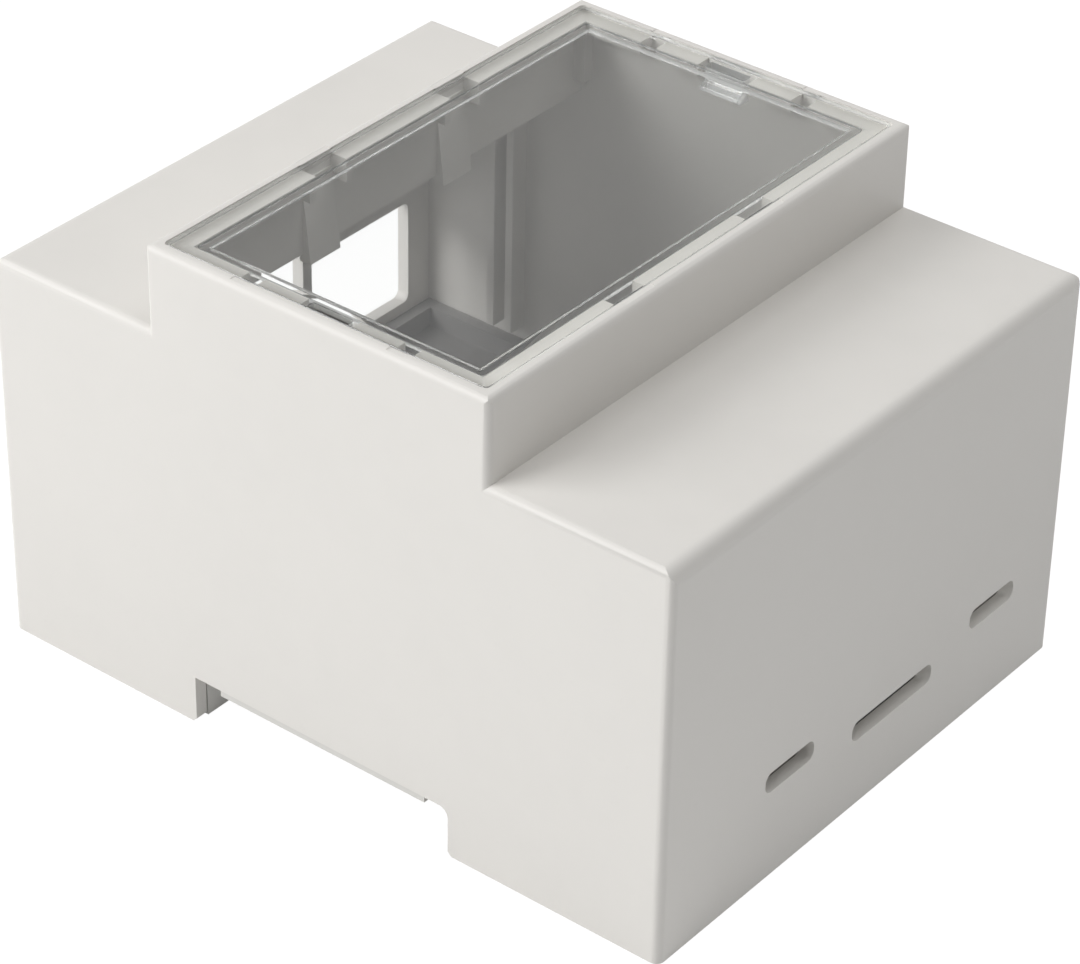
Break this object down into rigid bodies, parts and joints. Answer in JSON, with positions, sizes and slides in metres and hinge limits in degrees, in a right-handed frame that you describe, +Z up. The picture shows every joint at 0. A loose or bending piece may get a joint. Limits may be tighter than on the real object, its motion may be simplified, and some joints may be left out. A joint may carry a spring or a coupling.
{
  "type": "din rail enclosure",
  "caption": "Stepped plastic housing for a 35 mm mounting rail, with a clear flush front cover, connector windows, a card slot and sliding rail clips.",
  "frame": {"origin": "middle of the bounding box at the underside of the feet", "axes": "+X across the rail towards the end face with the card slot, +Y along the rail, +Z up from the feet to the clear cover"},
  "size_m": [0.09, 0.071, 0.058],
  "materials": {
    "case": "fine satin",
    "base": "fine satin",
    "clear": "clear, polished",
    "clip": "satin"
  },
  "bodies": {
    "enclosure": {"housing": "case", "base": "base"},
    "cover": {"front_cover": "clear"},
    "clip_1": {"rail_clip_1": "clip"},
    "clip_2": {"rail_clip_2": "clip"}
  },
  "joints": [
    {"name": "front_cover_lift", "type": "slide", "parent": "enclosure", "child": "cover", "axis": [0, 0, 1], "range_m": [0, 0.02]},
    {"name": "rail_clip_1_slide", "type": "slide", "parent": "enclosure", "child": "clip_1", "axis": [1, 0, 0], "range_m": [0, 0.0026], "stiffness_N_per_m": 3000, "springref_m": -0.0005},
    {"name": "rail_clip_2_slide", "type": "slide", "parent": "enclosure", "child": "clip_2", "axis": [1, 0, 0], "range_m": [0, 0.0026], "stiffness_N_per_m": 3000, "springref_m": -0.0005}
  ]
}
